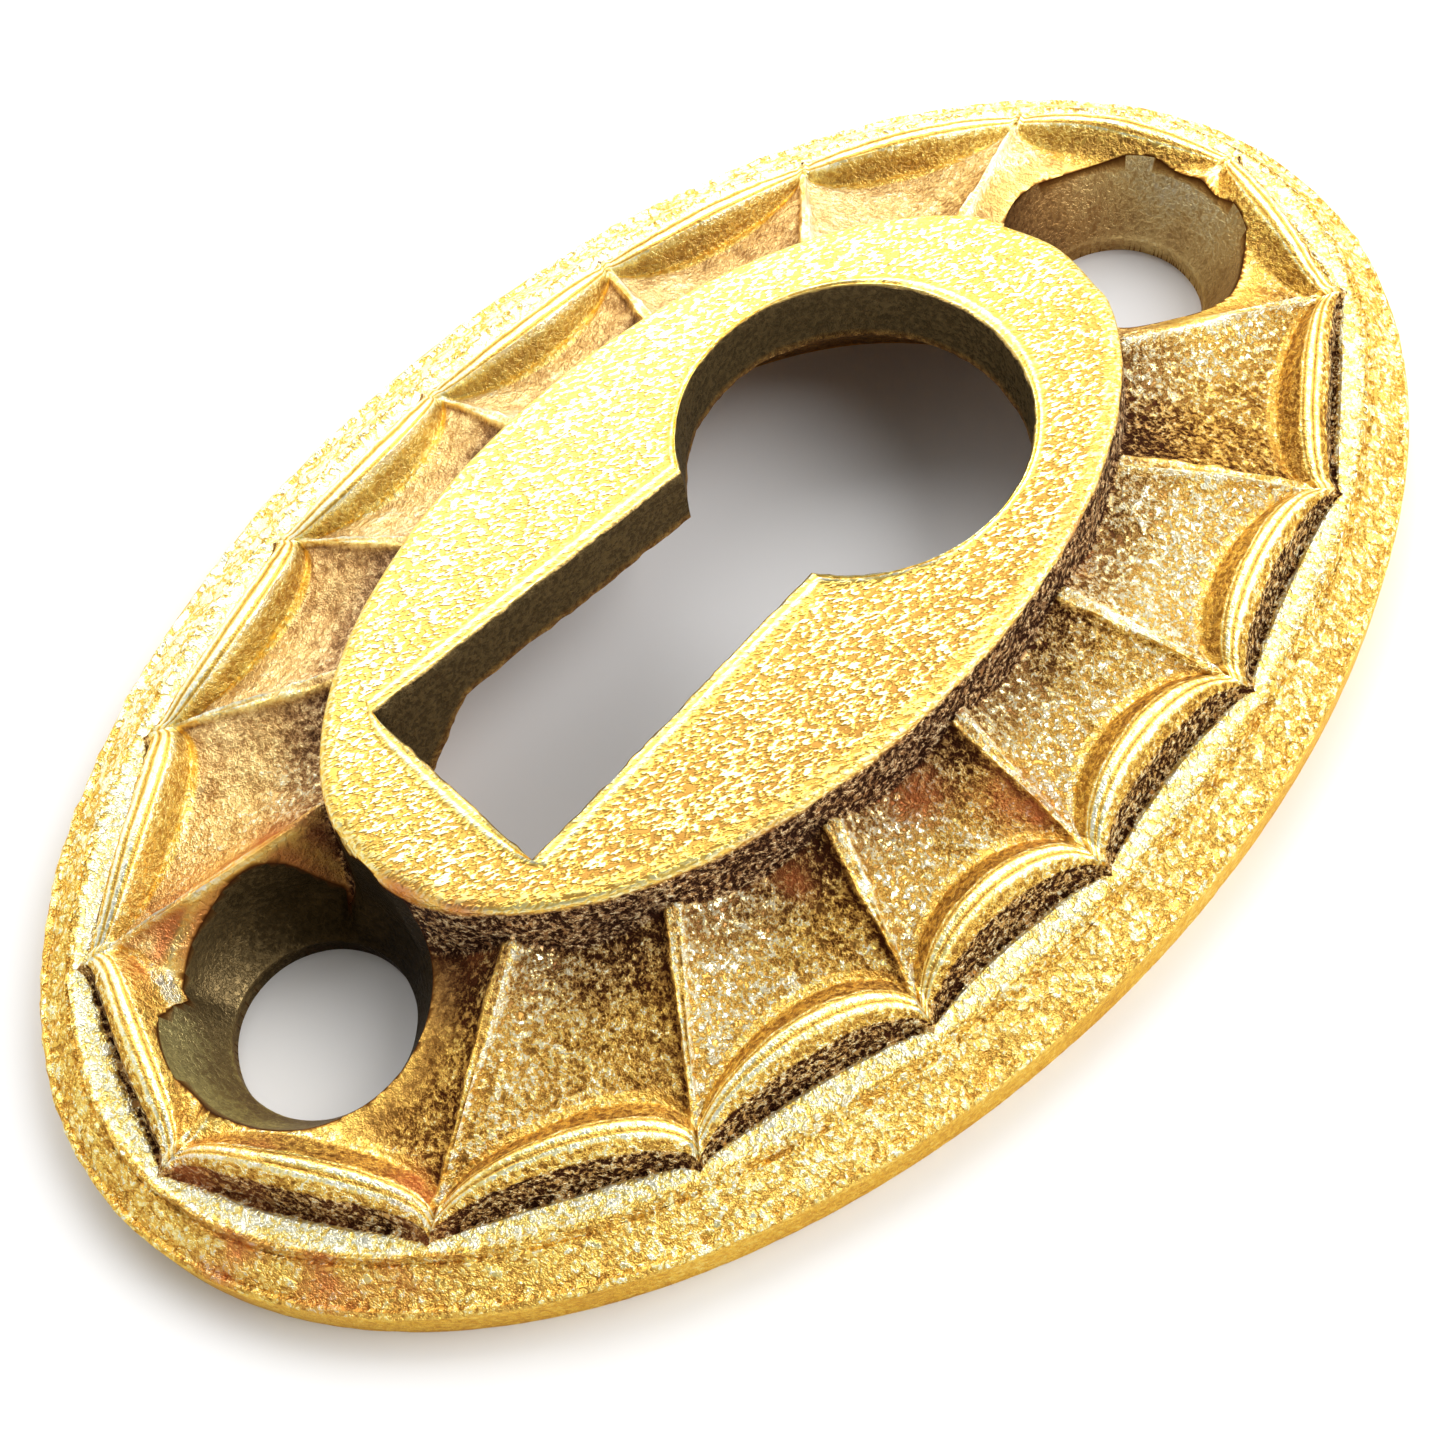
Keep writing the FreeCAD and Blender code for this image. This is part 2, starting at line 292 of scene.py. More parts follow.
BLOTCHES = dict(
    panel=1, rim=0.5, lens=0.2, slope=0.6, shoulder=1, step=1, wall=0.6, edge=0.8, bead=0.5, ledge=1,
    groove=1,
)
GRAIN_TONE = dict(panel=1, rim=0.6, lens=0.2, slope=1, step=0.6, wall=1, top=0.3)
COPPER_SHARE = dict(
    panel=1, rim=1, step=1, slope=0.8, ledge=1, bead=0.5, shoulder=0.5, edge=0.3, edge_line=1, bevel=0.4,
)
STRANDS = dict(panel=1, ledge=1, step=1, bead=0.8, groove=0.8, shoulder=0.8, slope=0.4)
LUMPS = dict(
    rim=1.0, lens=0.8, slope=0.7, shoulder=0.6, groove=0.5, bead=0.5, step=0.6, ledge=0.5, panel=0.8,
    wall=0.7, top=0.1, bevel=0.2, edge_line=0.2, key=0.5, hollow=0.8,
)
GRAIN = dict(
    rim=1.3, lens=0.5, slope=1.2, shoulder=0.5, groove=0.3, bead=0.4, step=0.7, ledge=0.4, panel=1.0,
    wall=1.2, top=0.3, burr=0.2, bevel=0.2, key=0.6, hollow=0.8, edge=0.4,
)


class Casting:
    """The whole skin as one closed band of rings, with the masks of its finish and of its painted light and
    shade.
    """

    def __init__(self):
        self.rings, self.part = [], []
        cusps = cusp_angles()
        gaps = np.diff(np.append(cusps, cusps[0] + 2 * math.pi))
        even = np.arange(PANEL_COLUMNS) / PANEL_COLUMNS
        self.at = np.tile((even + (1 - np.cos(math.pi * even)) / 2) / 2, PANELS)
        self.angle = np.repeat(cusps, PANEL_COLUMNS) + np.repeat(gaps, PANEL_COLUMNS) * self.at
        self.flute = 4 * self.at * (1 - self.at)
        self.scallop = (np.sqrt(self.flute + 0.02) - math.sqrt(0.02)) / (math.sqrt(1.02) - math.sqrt(0.02))
        self.start = on_oval(self.angle, LIP_X, LIP_Y)
        aim = self.start * (0, RIDGE_AIM, 0)
        self.along = (aim - self.start) / np.linalg.norm(aim - self.start, axis=1)[:, None]
        self.wall = reach(self.start, self.along, BOSS_X, BOSS_Y)
        self.depth = blend(FLUTE_DEPTH, END_FLUTE_DEPTH, ease(self.wall, 4.4, 6.0)) * self.flute
        scooped = np.arange(COLUMNS) // PANEL_COLUMNS == SCOOP_PANEL
        self.scoop = SCOOP_DEPTH * scooped * ease(self.at, 0.58, 0.66) * (1 - ease(self.at, 0.84, 1.0))
        self.left = ease(-np.sin(self.angle), 0.3, 0.8)

    def at_inset(self, inset, height):
        ring = self.start + self.along * np.broadcast_to(inset, self.wall.shape)[:, None]
        ring[:, 2] = height
        return ring

    def ridge_line(self, inset):
        """Height along a ridge. One panel is scooped out below it between the ridge and a screw hole."""
        share = inset / self.wall
        return LIP_HEIGHT + RIDGE_RISE * share - self.scoop * ease(inset, 1.6, 2.0) * (0.5 + share)

    def panel(self, inset):
        return self.ridge_line(inset) - self.depth * inset / self.wall

    def line(self, *points):
        """Rings along a run of (part, ring, steps): the steps lead on from each ring to the next."""
        for (name, ring, steps), (_, after, _) in zip(points, points[1:]):
            for step in range(steps):
                self.rings.append(blend(ring, after, step / steps))
                self.part.append(name)

    def rim(self, share, height):
        ring = blend(on_oval(self.angle, PLATE_X, PLATE_Y), self.start, share)
        ring[:, 2] = height
        return ring

    def arch(self):
        """Rings of the lens hollow and the arch; at a cusp they draw together on the ridge."""
        run = []
        for name, at_ridge, inset, rise, steps in ARCH:
            crest = lump(inset, 1.35, 0.2) * self.left
            way = blend(at_ridge, inset + LEFT_CREST * crest, self.scallop)
            height = self.ridge_line(way) + (rise + 0.06 * crest) * self.scallop
            run.append((name, self.at_inset(way, height), steps))
        return run

    def build(self):
        wall = self.wall
        self.line(
            ("edge", self.rim(0.02, 0.0), 1),
            ("edge", self.rim(0.0, 0.05), 4),
            ("edge", self.rim(0.0, EDGE_HEIGHT - 0.06), 1),
            ("rim", self.rim(*RIM[0][:2]), 0),
        )
        arch = self.arch()
        self.line(*[("rim", self.rim(share, height), steps) for share, height, steps in RIM[:-1]], arch[0])
        foot = blend(*ARCH[-1][1:3], self.scallop)
        wall_foot = wall - (TOP - self.panel(wall)) * BOSS_DRAFT
        side = self.at_inset(wall + 0.01, TOP - 0.12)
        bevel = self.at_inset(wall + 0.05, TOP - 0.06)
        brow = self.at_inset(wall + 0.13, TOP - 0.02)
        top_edge = self.at_inset(wall + 2 * BOSS_EDGE, TOP - 0.01)
        self.line(
            *arch[:-1],
            ("panel", self.at_inset(foot, self.panel(foot)), 27),
            ("wall", self.at_inset(wall_foot, self.panel(wall_foot)), 10),
            ("edge_line", side, 2),
            ("edge_line", bevel, 2),
            ("bevel", brow, 3),
            ("top", top_edge, 0),
        )
        key = key_outline(np.arctan2(side[:, 0] / BOSS_X, side[:, 1] / BOSS_Y) % (2 * math.pi))
        outward = top_edge - key
        outward[:, 2] = 0
        outward /= np.linalg.norm(outward, axis=1)[:, None]

        def round_key(distance, height):
            ring = key + outward * distance
            ring[:, 2] = height
            return ring

        key_foot = round_key(0, hollow_height(key))
        self.line(
            ("top", top_edge, 12),
            ("burr_line", round_key(0.30, TOP - 0.03), 1),
            ("burr", round_key(0.24, TOP - 0.01), 1),
            ("burr", round_key(0.18, TOP), 1),
            ("burr_line", round_key(0.12, TOP - 0.03), 1),
            ("burr", round_key(0.05, TOP - 0.01), 1),
            ("key", round_key(0.0, TOP - 0.05), 7),
            ("key", key_foot, 0),
        )
        grown = (TOP - BOSS_SKIN) * HOLLOW_DRAFT
        mouth = on_oval(self.angle, HOLLOW_X + grown, HOLLOW_Y + grown)
        mouth[:, 1] += HOLLOW_OFFSET
        first = len(self.rings)
        self.line(("hollow", key_foot * (1, 1, 0), 8), ("back", mouth, 0))
        for ring in self.rings[first:]:
            ring[:, 2] = hollow_height(ring)
        self.line(("back", mouth, 3), ("edge", self.rim(0.02, 0.0), 0))
        self.points = np.array(self.rings)
        self.part = np.array(self.part)

    def to_ridge(self):
        """Way of each point from the nearest ridge along its ring."""
        sectors = self.points.reshape(len(self.points), PANELS, PANEL_COLUMNS, 3)
        ridge = sectors[:, :, :1]
        ways = [np.linalg.norm(sectors - edge, axis=-1) for edge in (ridge, np.roll(ridge, -1, 1))]
        return np.minimum(*ways).reshape(self.points.shape[:2])

    def soften(self, passes=1):
        """Rounds the corners of the relief a little along each section."""
        names = ("lens", "slope", "shoulder", "groove", "bead", "step", "ledge", "panel", "wall")
        soft = 0.35 * np.isin(self.part, names)[:, None, None]
        for _ in range(passes):
            mean = (np.roll(self.points, 1, 0) + np.roll(self.points, -1, 0)) / 2
            self.points = blend(self.points, mean, soft)

    def raise_strands(self):
        """A fine double strand along each ridge, and raised edges round the screw holes."""
        off = self.to_ridge()
        strand = lump(off, STRAND_HALF, 0.08) + 0.4 * lump(off, 0, 0.08)
        strand = strand * self.strength(**STRANDS)
        self.to_screw = np.minimum(
            *[np.linalg.norm((self.points - (0, end * SCREW_Y, 0))[..., :2], axis=-1) for end in (-1, 1)]
        )
        collar = 0.4 * lump(self.to_screw, SINK_RADIUS + 0.05, 0.14)
        crest = lump(self.to_screw, SINK_RADIUS + 0.22, 0.09) * np.sign(self.scoop)
        self.strand = strand + (collar + 0.8 * crest) * self.strength(panel=1.0)
        self.points[..., 2] += STRAND_HEIGHT * self.strand

    def even_out(self, passes=40):
        """Draws the relief smooth where it meets the screw holes."""
        near = 0.5 * (1 - ease(self.to_screw, SINK_RADIUS + 0.1, SINK_RADIUS + 0.6))
        near = near * np.where(self.scoop > 0, 0.1, 1)
        for _ in range(passes):
            mean = sum(np.roll(self.points, way, axis) for axis in (0, 1) for way in (-1, 1)) / 4
            self.points = blend(self.points, mean, near[..., None])

    def normals(self):
        across = np.roll(self.points, -1, 1) - np.roll(self.points, 1, 1)
        inward = np.roll(self.points, -1, 0) - np.roll(self.points, 1, 0)
        normal = np.cross(inward, across)
        return normal / np.maximum(np.linalg.norm(normal, axis=-1, keepdims=True), 1e-9)

    def strength(self, **shares):
        """One value per vertex from a value for each named part, 0 elsewhere."""
        values = np.array([shares.get(name, 0.0) for name in self.part])
        return np.repeat(values[:, None], COLUMNS, 1)

    def roughen(self):
        """The unevenness of a casting: slow waves, lumps and grain, each strong where the photo shows it."""
        normal = self.normals()
        place = self.points
        slow = 0.03 * cloud.layers(place, 2.6, 2)
        lumps = 0.03 * cloud.layers(place + 31, 0.7, 2)
        grain = cloud.layers(place + 63, 0.26, 2)
        relief = self.strength(**LUMPS)
        coarse = self.strength(**GRAIN)
        self.grain = grain
        calm = ease(self.to_screw, SINK_RADIUS + 0.1, SINK_RADIUS + 0.5)
        uneven = ((slow + lumps) * relief + 0.03 * grain * coarse) * calm
        self.points = self.points + normal * uneven[..., None]
        self.points[..., 2] = np.clip(self.points[..., 2], 0, TOP)
        self.points[self.part == "back", :, 2] = 0
        out = np.sqrt((self.points[..., 0] / PLATE_X) ** 2 + (self.points[..., 1] / PLATE_Y) ** 2)
        self.points[..., :2] /= np.maximum(out, 1)[..., None]

    def masks(self):
        """Masks of the finish: tone, speckle, patina, olive, laid grain, veins and copper bloom; tone,
        patina and olive also carry painted light and shade.
        """
        normal = self.normals()
        place = self.points
        panel = self.strength(panel=1.0)
        tone = self.strength(**TONE)
        # Painted light and shade by side: towards the -X side the tone darkens on the panels and lightens on
        # the rim, lens, slope, beads, step and boss top.
        far = -place[..., 0] / PLATE_X
        tone = tone + 0.12 * far * self.strength(**FAR_SIDE_PAINTED_LIGHT)
        # Painted highlight: on the -X side the step is lighter at its top rows, fading down the step.
        down = np.zeros(len(self.part))
        down[self.part == "step"] = np.linspace(0, 1, np.sum(self.part == "step"))
        step = self.strength(step=1)
        painted_far_highlight = 0.3 * (1 - ease(down, 0.0, 0.4)) + 0.04
        tone = tone + np.clip(1.5 * far, 0, 1) * step * painted_far_highlight[:, None]
        # Painted light: the boss top and its bevel a little lighter towards the +Y end.
        tone = tone + 0.05 * place[..., 1] / PLATE_Y * self.strength(top=1, bevel=1)
        # Painted light and shade on the panels' flanks: a flank is lighter or darker by how far its normal
        # leans towards +Y, with a strength and sense that change round the plate.
        turn = np.degrees(self.angle) % 360
        painted_flank_light = 1.1 - 2.4 * lump(turn, 42, 23) - 0.6 * ease(turn, 180, 200)
        tone = tone + painted_flank_light * normal[..., 1] * self.strength(panel=1, ledge=0.5)
        # Painted highlight: a lighter band on the flank of the panel beside the scooped one.
        painted_flank_highlight = (np.arange(COLUMNS) // PANEL_COLUMNS == SCOOP_PANEL - 1) * ease(self.at, 0.6, 0.75)
        tone = np.where(panel > 0, np.minimum(tone, 0.87) + 0.22 * painted_flank_highlight, tone)
        # Deep in the flutes towards the boss wall the panels darken, partly patina and partly painted shade;
        # they also darken by the screw holes, and the raised strands are lighter.
        inset = np.linalg.norm((place - self.start)[..., :2], axis=-1) / self.wall
        deep_patina_and_shade = ease(inset, 0.62, 0.95)
        by_screw = 1 - ease(self.to_screw, SINK_RADIUS + 0.2, SINK_RADIUS + 1.0)
        tone = tone - (0.16 * deep_patina_and_shade + 0.12 * deep_patina_and_shade * by_screw + 0.12 * by_screw) * panel + 0.35 * self.strand
        tone = tone - 0.12 * ease(-place[..., 1], 9, 14) * self.strength(rim=1)
        tone = tone + 0.08 * cloud.layers(place + 11, 1.9, 3) * self.strength(**BLOTCHES)
        tone = tone + 0.08 * self.grain * self.strength(**GRAIN_TONE)
        speckle = self.strength(**SPECKLE)
        speckle = speckle * (1 - 0.55 * np.clip(far, 0, 1)) * (1 - np.clip(1.2 * far, 0, 0.6) * panel)
        speckle = speckle - 0.5 * np.minimum(far, 0) * self.strength(top=1)
        speckle = (speckle + 0.5 * deep_patina_and_shade * panel) * (1 - 0.75 * by_screw * panel)
        speckle = speckle * (1 - 0.7 * np.minimum(self.strand, 1))
        # Patina on the lens slope, the boss wall, the hollow and deep in the flutes; the part it gains on
        # the panels towards the -X side is painted shade.
        patina_and_shade = self.strength(panel=0.05, slope=0.5, wall=0.8, hollow=0.5) + 0.4 * deep_patina_and_shade * panel
        patina_and_shade = patina_and_shade + 0.5 * np.clip(2 * far, 0, 1) * panel
        patina_and_shade = patina_and_shade * (1 - 0.8 * np.minimum(self.strand, 1))
        copper = self.strength(**COPPER_SHARE) * sum(
            lump(np.linalg.norm((place - spot)[..., :2], axis=-1), 0, width) for *spot, width in COPPER_SPOTS
        )
        copper = copper * ease(cloud.layers(place + 47, 0.9, 3), -0.9, 0.3)
        copper = copper * (1 - 0.8 * np.minimum(self.strand, 1))
        return {
            "tone": np.clip(tone, 0, 1.1),
            "speckle": speckle,
            "patina_and_shade": np.clip(patina_and_shade, 0, 1),
            # Painted shade: a dark olive tint on the keyhole wall and on the step towards the -X side.
            "olive_shade": self.strength(key=1.0) + 0.55 * np.clip(1.5 * far, 0, 1) * step,
            "laid": self.strength(top=1.0, bevel=1.0, burr=1.0, burr_line=1.0, edge_line=1.0),
            "veins": self.strength(rim=1.0, lens=0.5, shoulder=0.6, bead=0.2, panel=0.3, edge=0.2),
            "copper": np.clip(copper, 0, 1),
        }

    def mesh(self):
        self.build()
        self.soften()
        self.raise_strands()
        self.even_out()
        self.roughen()
        return closed_mesh("escutcheon_casting", self.points, self.masks())


def closed_mesh(name, points, masks):
    """A mesh from rings that close on themselves both ways, with point attributes."""
    rings, columns = points.shape[:2]
    index = np.arange(rings * columns).reshape(rings, columns)
    right = np.roll(index, -1, 1)
    faces = np.stack([index, np.roll(index, -1, 0), np.roll(right, -1, 0), right], -1).reshape(-1, 4)
    values = {key: value.ravel() for key, value in masks.items()}
    return mesh_of(name, points.reshape(-1, 3) * MM, faces.tolist(), values)


def mesh_of(name, vertices, faces, masks):
    mesh = bpy.data.meshes.new(name)
    mesh.from_pydata(vertices.tolist(), [], faces)
    for key, values in masks.items():
        layer = mesh.attributes.new(key, "FLOAT", "POINT")
        layer.data.foreach_set("value", np.asarray(values, np.float32))
    mesh.update()
    return mesh


def screw_cutter(end):
    """The cast screw hole at one end: land, cone and shaft, flattened where the boss stands in it."""
    around = np.arange(SCREW_COLUMNS) * 2 * math.pi / SCREW_COLUMNS
    way = np.stack([np.sin(around), np.cos(around), np.zeros_like(around)], -1)
    middle = np.array([0, end * SCREW_Y, 0])
    turn = np.degrees(around)
    sink = SINK_HEIGHT - (1.2 * (ease(turn, 222, 242) - ease(turn, 318, 338)) if end < 0 else 0)
    slope = (SINK_RADIUS - SCREW_RADIUS) / (sink - SCREW_LAND)
    rings = []
    heights = [
        [-0.5, 0.0, SCREW_LAND - 0.1, SCREW_LAND, SCREW_LAND + 0.1],
        np.linspace(0.8, SINK_HEIGHT, 5),
        np.linspace(SINK_HEIGHT, TOP, 11)[1:],
        [TOP + 0.5],
    ]
    for height in np.concatenate(heights):
        cone = np.minimum(SINK_RADIUS, SCREW_RADIUS + slope * max(0, height - SCREW_LAND))
        cone = cone * np.ones(len(around))
        grown = max(0, TOP - height) * BOSS_DRAFT - 0.05
        start = np.broadcast_to(middle, way.shape)
        a = (way[:, 0] / (BOSS_X + grown)) ** 2 + (way[:, 1] / (BOSS_Y + grown)) ** 2
        b = 2 * start[:, 1] * way[:, 1] / (BOSS_Y + grown) ** 2
        c = (start[:, 1] / (BOSS_Y + grown)) ** 2 - 1
        inside = b * b - 4 * a * c
        boss = np.where((inside > 0) & (b < 0), (-b - np.sqrt(np.maximum(inside, 0))) / (2 * a), 99)
        radius = np.minimum(cone, np.maximum(boss, np.minimum(cone, HEAD_RADIUS)))
        ring = middle + way * radius[:, None] + (0, 0, height)
        ring[:, :2] += (way * 0.015 * cloud(ring + 5, 0.6)[:, None])[:, :2]
        rings.append(ring)
    points = np.array(rings)
    count, columns = points.shape[:2]
    index = np.arange(count * columns).reshape(count, columns)
    right = np.roll(index, -1, 1)
    faces = np.stack([index[:-1], index[1:], right[1:], right[:-1]], -1).reshape(-1, 4).tolist()
    faces += [index[0].tolist(), index[-1][::-1].tolist()]
    height = points[..., 2].ravel()
    # Painted shade on the hole walls: darker on the side towards the boss and towards the bottom, with a
    # painted highlight round the edge of the land; the -Y hole gets the full dark olive tint.
    outward = end * (points[..., 1].ravel() - end * SCREW_Y) / SINK_RADIUS
    tone = 0.34 + (0.34 if end < 0 else 0.5) * outward
    tone = tone + 0.12 * ease(height, 0.3, 1.8) + 0.12 * lump(height, SCREW_LAND, 0.07)
    tone = tone + 0.06 * cloud.layers(points.reshape(-1, 3), 0.6, 2)
    masks = {name: np.zeros(len(tone)) for name in ("laid", "veins", "copper")}
    shares = {"speckle": 0.25, "patina_and_shade": 0.5, "olive_shade": 1.0 if end < 0 else 0.25}
    masks.update({name: np.full(len(tone), share) for name, share in shares.items()}, tone=tone)
    mesh = mesh_of("screw_cutter", points.reshape(-1, 3) * MM, faces, masks)
    cutter = bpy.data.objects.new("screw_cutter", mesh)
    bpy.context.scene.collection.objects.link(cutter)
    return cutter


def cut(piece, cutter):
    """Cuts one closed mesh out of another and removes the cutter."""
    step = piece.modifiers.new("cut", "BOOLEAN")
    step.operation = "DIFFERENCE"
    step.solver = "MANIFOLD"
    step.object = cutter
    view = bpy.context.evaluated_depsgraph_get()
    result = bpy.data.meshes.new_from_object(piece.evaluated_get(view))
    piece.modifiers.clear()
    old = piece.data
    piece.data = result
    result.name = old.name
    bpy.data.meshes.remove(old)
    bpy.data.objects.remove(cutter)


class Nodes:
    """Short calls that add nodes to a material or world."""

    def __init__(self, owner):
        owner.use_nodes = True
        self.tree = owner.node_tree
        self.tree.nodes.clear()

    def add(self, kind, **settings):
        node = self.tree.nodes.new(kind)
        for name, value in settings.items():
            setattr(node, name, value)
        return node

    def feed(self, node, **inputs):
        for name, value in inputs.items():
            socket = node.inputs[int(name[1:])] if name[0] == "_" else node.inputs[name.replace("__", " ")]
            if isinstance(value, bpy.types.NodeSocket):
                self.tree.links.new(value, socket)
            else:
                socket.default_value = value
        return node

    def math(self, operation, first, second=0.0, third=0.0):
        node = self.feed(self.add("ShaderNodeMath", operation=operation), _0=first, _1=second, _2=third)
        return node.outputs[0]

    def attribute(self, name):
        return self.add("ShaderNodeAttribute", attribute_name=name).outputs["Fac"]

    def noise(self, place, scale, detail=2.0, roughness=0.5):
        node = self.add("ShaderNodeTexNoise")
        self.feed(node, Vector=place, Scale=scale, Detail=detail, Roughness=roughness)
        return node.outputs["Fac"]

    def ramp(self, value, stops):
        node = self.add("ShaderNodeValToRGB")
        marks = node.color_ramp.elements
        while len(marks) < len(stops):
            marks.new(0.5)
        for mark, (position, colour) in zip(marks, stops):
            mark.position = position
            mark.color = (*colour, 1)
        self.feed(node, Fac=value)
        return node.outputs["Color"]

    def spread(self, value, low_in, high_in, low_out, high_out):
        node = self.add("ShaderNodeMapRange")
        self.feed(node, _0=value, _1=low_in, _2=high_in, _3=low_out, _4=high_out)
        return node.outputs[0]

    def blend(self, share, first, second):
        node = self.add("ShaderNodeMix", data_type="FLOAT")
        self.feed(node, _0=share, _2=first, _3=second)
        return node.outputs[0]

    def mix(self, share, first, second):
        node = self.add("ShaderNodeMix", data_type="RGBA")
        self.feed(node, _0=share, _6=first, _7=second)
        return node.outputs[2]


BRASS_TONES = (
    (0.0, (0.060, 0.015, 0.004)),
    (0.2, (0.190, 0.080, 0.014)),
    (0.4, (0.430, 0.220, 0.045)),
    (0.6, (0.740, 0.430, 0.085)),
    (0.78, (0.940, 0.640, 0.130)),
    (0.88, (0.990, 0.800, 0.270)),
    (0.96, (1.000, 0.910, 0.480)),
    (1.0, (1.000, 0.980, 0.760)),
)
PATINA_AND_SHADE_TONES = (
    (0.0, (0.040, 0.016, 0.010)),
    (0.25, (0.140, 0.075, 0.045)),
    (0.5, (0.380, 0.215, 0.120)),
    (0.8, (0.930, 0.700, 0.420)),
    (1.0, (1.000, 0.900, 0.660)),
)
OLIVE_SHADE_TONES = (
    (0.0, (0.010, 0.007, 0.003)),
    (0.3, (0.070, 0.047, 0.020)),
    (0.6, (0.290, 0.205, 0.090)),
    (1.0, (0.860, 0.740, 0.300)),
)
COPPER = (0.60, 0.19, 0.06, 1)


def brass():
    """Cast brass: bright metal with wear, brown patina in the hollows and patches of copper bloom, with
    painted highlights and painted shade carried in the tone, patina and olive masks.
    """
    material = bpy.data.materials.new("cast_brass")
    n = Nodes(material)
    place = n.add("ShaderNodeTexCoord").outputs["Object"]
    laid = n.add("ShaderNodeMapping", vector_type="TEXTURE")
    laid = n.feed(laid, Vector=place, Rotation=(0, 0, math.radians(67)), Scale=(2.2, 1.0, 1.0)).outputs[0]
    grain = n.spread(n.noise(laid, 17000, 1.5, 0.5), 0.40, 0.60, -0.6, 0.4)
    curls = n.math("ABSOLUTE", n.math("SUBTRACT", n.noise(place, 6500, 2, 0.6), 0.5))
    curls = n.spread(curls, 0.0, 0.06, 0.5, -0.2)
    mottle = n.spread(n.noise(place, 8000, 3, 0.65), 0.42, 0.58, -0.5, 0.5)
    rough = n.math("MULTIPLY", n.math("ADD", curls, mottle), 0.65)
    pattern = n.blend(n.attribute("laid"), rough, grain)
    veins = n.math("ABSOLUTE", n.math("SUBTRACT", n.noise(place, 3200, 3.5, 0.6), 0.5))
    veins = n.math("MULTIPLY", n.spread(veins, 0.0, 0.07, -0.45, 0.08), n.attribute("veins"))
    relief = n.math("MULTIPLY_ADD", pattern, n.attribute("speckle"), veins)
    tone = n.attribute("tone")
    toned = n.math("MULTIPLY_ADD", relief, 0.6, tone)
    colour = n.mix(n.attribute("patina_and_shade"), n.ramp(toned, BRASS_TONES), n.ramp(toned, PATINA_AND_SHADE_TONES))
    colour = n.mix(n.attribute("olive_shade"), colour, n.ramp(toned, OLIVE_SHADE_TONES))
    colour = n.mix(n.math("MULTIPLY", n.attribute("copper"), 0.85), colour, COPPER)
    shader = n.add("ShaderNodeBsdfPrincipled")
    steep = n.blend(n.attribute("laid"), 0.75, 0.5)
    bump = n.feed(n.add("ShaderNodeBump"), Strength=steep, Distance=0.00007, Height=relief)
    n.feed(shader, Base__Color=colour, Metallic=n.spread(tone, 0.1, 0.6, 0.6, 0.8), Normal=bump.outputs[0])
    n.feed(shader, Roughness=n.spread(tone, 0.2, 0.9, 0.45, 0.28))
    n.feed(shader, Specular__Tint=colour, Specular__IOR__Level=0.15)
    out = n.add("ShaderNodeOutputMaterial")
    n.feed(out, Surface=shader.outputs[0])
    return material


def plain(name, colour):
    material = bpy.data.materials.new(name)
    n = Nodes(material)
    shader = n.feed(n.add("ShaderNodeBsdfDiffuse"), Color=(*colour, 1))
    n.feed(n.add("ShaderNodeOutputMaterial"), Surface=shader.outputs[0])
    return material


def escutcheon():
    mesh = Casting().mesh()
    piece = bpy.data.objects.new("escutcheon_casting", mesh)
    bpy.context.scene.collection.objects.link(piece)
    for end in (-1, 1):
        cut(piece, screw_cutter(end))
    piece.data.materials.clear()
    piece.data.materials.append(brass())
    piece.data.shade_smooth()
    piece.data.set_sharp_from_angle(angle=math.radians(50))
    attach(piece, "root")
    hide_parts("escutcheon")
    return piece


# Camera: its place and axes come from a fit to the plate, boss and holes in the photo
PHOTO_SIDE = 1452
FOCAL_PIXELS = 2038.2
SENSOR = 36.0
CAMERA_AT = Vector((0.01736, -0.01265, 0.03497))
CAMERA_RIGHT = Vector((0.7010877, 0.7046678, -0.1091759))
CAMERA_DOWN = Vector((0.5831924, -0.6547288, -0.4808501))
CAMERA_AHEAD = Vector((-0.4103202, 0.2734476, -0.8699792))


def camera():
    data = bpy.data.cameras.new("camera")
    data.sensor_width = SENSOR
    data.lens = SENSOR * FOCAL_PIXELS / PHOTO_SIDE
    data.clip_start = 0.001
    data.clip_end = 10
    item = bpy.data.objects.new("camera", data)
    turned = Matrix((CAMERA_RIGHT, -CAMERA_DOWN, -CAMERA_AHEAD)).transposed().to_4x4()
    item.matrix_world = Matrix.Translation(CAMERA_AT) @ turned
    bpy.context.scene.collection.objects.link(item)
    bpy.context.scene.camera = item


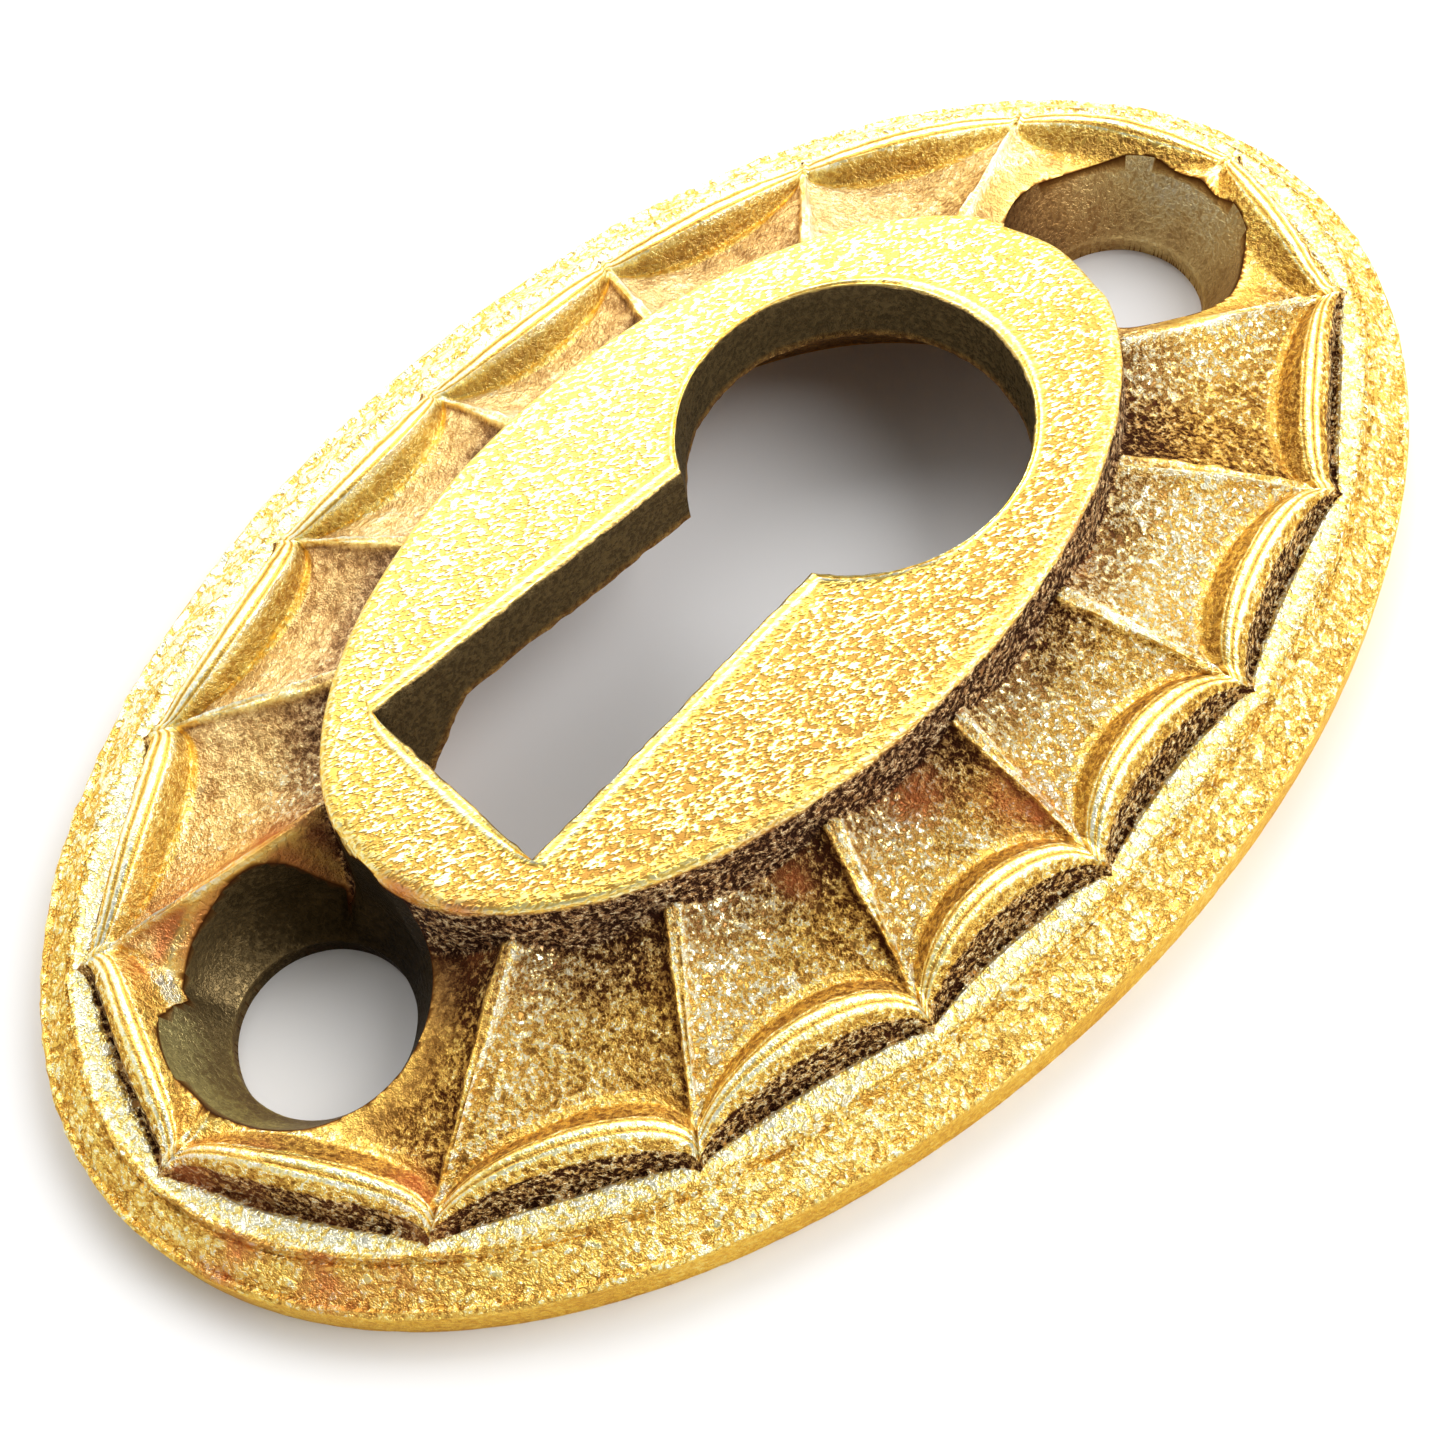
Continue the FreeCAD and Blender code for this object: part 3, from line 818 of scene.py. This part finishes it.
def lamp(name, azimuth, elevation, distance, width, power):
    """A soft square lamp that faces the middle of the plate. Azimuth 0 stands on the -Y side, 90 on +X."""
    data = bpy.data.lights.new(name, "AREA")
    data.size = width
    data.energy = power
    item = bpy.data.objects.new(name, data)
    a, e = math.radians(azimuth), math.radians(elevation)
    back = Vector((math.sin(a) * math.cos(e), -math.cos(a) * math.cos(e), math.sin(e)))
    item.location = back * distance
    item.rotation_mode = "QUATERNION"
    item.rotation_quaternion = back.to_track_quat("Z", "Y")
    bpy.context.scene.collection.objects.link(item)


# Way to a dark card that stands above the near side of the plate, as in the photo's reflections
DARK_CARD = (0.33, -0.40, 0.855)


def studio():
    """A pale floor, an even pale surrounding with a dark card in it, and large soft lamps from behind."""
    floor_mesh = bpy.data.meshes.new("floor")
    reach_out = 0.6
    corners = [(x * reach_out, y * reach_out, 0) for x, y in ((-1, -1), (1, -1), (1, 1), (-1, 1))]
    floor_mesh.from_pydata(corners, [], [(0, 1, 2, 3)])
    floor_mesh.materials.append(plain("floor_white", (0.83, 0.83, 0.83)))
    floor = bpy.data.objects.new("floor", floor_mesh)
    bpy.context.scene.collection.objects.link(floor)
    world = bpy.data.worlds.new("surrounding")
    bpy.context.scene.world = world
    n = Nodes(world)
    direction = n.add("ShaderNodeTexCoord").outputs["Generated"]
    up = n.feed(n.add("ShaderNodeSeparateXYZ"), Vector=direction).outputs["Z"]
    shade = n.ramp(up, ((0.0, (1.0, 1.0, 1.0)), (0.7, (1.0, 1.0, 1.0)), (1.0, (0.65, 0.65, 0.65))))
    to_card = n.feed(n.add("ShaderNodeVectorMath", operation="DOT_PRODUCT"), _0=direction, _1=DARK_CARD)
    dimmed = n.spread(to_card.outputs["Value"], 0.58, 0.93, 1.05, 0.08)
    light = n.feed(n.add("ShaderNodeBackground"), Color=shade, Strength=dimmed)
    n.feed(n.add("ShaderNodeOutputWorld"), Surface=light.outputs[0])
    lamp("lamp_behind", 234, 43, 0.25, 0.24, 0.5)
    lamp("lamp_far_end", 138, 42, 0.25, 0.2, 0.55)


escutcheon()
studio()
camera()
bpy.context.scene.view_settings.view_transform = "Standard"
